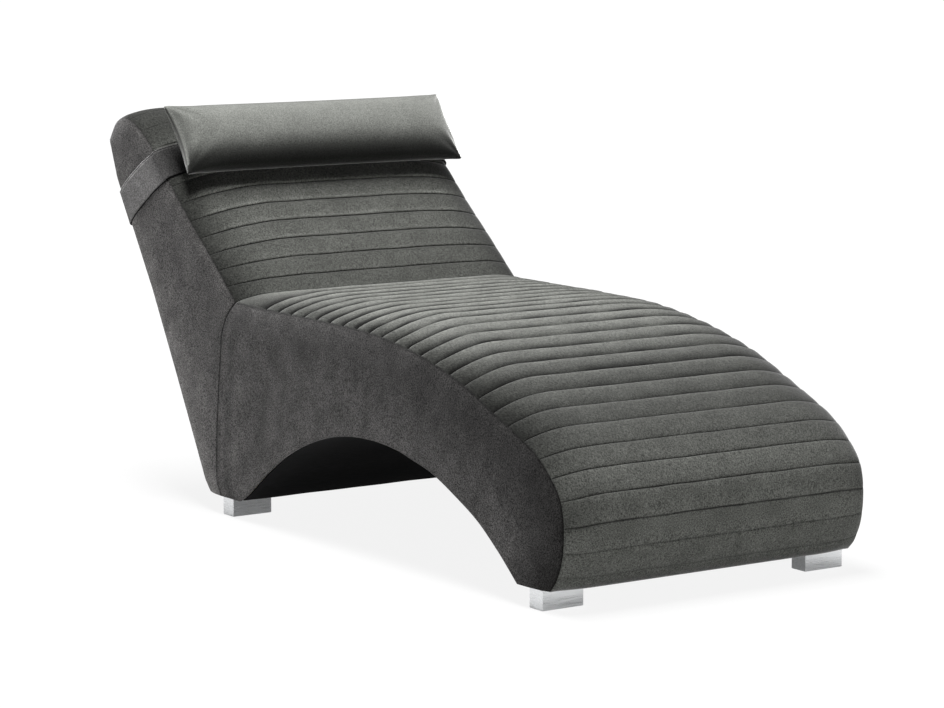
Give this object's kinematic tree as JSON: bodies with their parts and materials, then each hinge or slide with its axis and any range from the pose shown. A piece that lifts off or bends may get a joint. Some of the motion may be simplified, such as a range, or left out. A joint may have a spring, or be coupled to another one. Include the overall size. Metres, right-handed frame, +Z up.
{
  "type": "chaise longue",
  "caption": "Armless upholstered chaise longue with cross-channelled velvet, an arched base between block feet and a neck pillow on a sliding strap.",
  "frame": {"origin": "on the floor under the middle of the whole piece", "axes": "+X across the width, +Y from the foot end towards the backrest, +Z up"},
  "size_m": [0.7206, 1.6736, 0.823],
  "materials": {
    "velvet": "dark grey velvet with a short pile that shines at grazing angles",
    "pillow_velvet": "dark grey velvet, drawn smooth over its filling",
    "lining": "black lining cloth, matt",
    "foam": "upholstery foam",
    "wadding": "polyester wadding",
    "plywood": "raw plywood",
    "hardboard": "brown hardboard",
    "webbing": "woven elastic strap",
    "foot_metal": "satin silver metal",
    "steel": "zinc plated"
  },
  "bodies": {
    "lounger": {"seat_quilt": "velvet", "back_quilt": "velvet", "rear_cover": "velvet", "arch_cover": "lining", "side_cover_seat_left": "velvet", "side_cover_back_left": "velvet", "side_cover_seat_right": "velvet", "side_cover_back_right": "velvet", "seat_foam": "foam", "back_foam": "foam", "rear_wadding": "wadding", "side_foam_left": "foam", "side_foam_right": "foam", "nose_panel": "hardboard", "arch_panel": "hardboard", "rear_panel": "hardboard", "seat_webbing_1": "webbing", "seat_webbing_2": "webbing", "seat_webbing_3": "webbing", "seat_webbing_4": "webbing", "seat_webbing_5": "webbing", "back_webbing_1": "webbing", "back_webbing_2": "webbing", "back_webbing_3": "webbing", "side_board_seat_left": "plywood", "side_board_back_left": "plywood", "splice_plate_left": "plywood", "side_board_seat_right": "plywood", "side_board_back_right": "plywood", "splice_plate_right": "plywood", "base_board_front": "plywood", "base_board_rear": "plywood", "base_cloth_front": "lining", "base_cloth_rear": "lining", "rail_nose_low": "plywood", "rail_nose_top": "plywood", "rail_seat_front": "plywood", "rail_seat_middle": "plywood", "rail_seat_rear": "plywood", "rail_back_low": "plywood", "rail_back_high": "plywood", "rail_top": "plywood", "rail_rear_low": "plywood", "foot_front_left": "foot_metal", "foot_stud_front_left": "steel", "tee_nut_front_left": "steel", "foot_front_right": "foot_metal", "foot_stud_front_right": "steel", "tee_nut_front_right": "steel", "foot_rear_left": "foot_metal", "foot_stud_rear_left": "steel", "tee_nut_rear_left": "steel", "foot_rear_right": "foot_metal", "foot_stud_rear_right": "steel", "tee_nut_rear_right": "steel"},
    "headrest": {"neck_pillow": "pillow_velvet", "strap_front": "velvet", "strap_left": "velvet", "strap_right": "velvet"},
    "rear_band": {"strap_rear": "velvet"}
  },
  "joints": [
    {"name": "headrest_slide", "type": "slide", "parent": "lounger", "child": "headrest", "axis": [0, 0.7459, 0.6661], "range_m": [-0.1, 0.02]},
    {"name": "rear_band_slide", "type": "slide", "parent": "headrest", "child": "rear_band", "axis": [0, -0.7568, 0.6536], "range_m": [-0.027, 0.006]}
  ],
  "couplings": [
    {"joint": "rear_band_slide", "follows": "headrest_slide", "ratio": 0.25831}
  ]
}
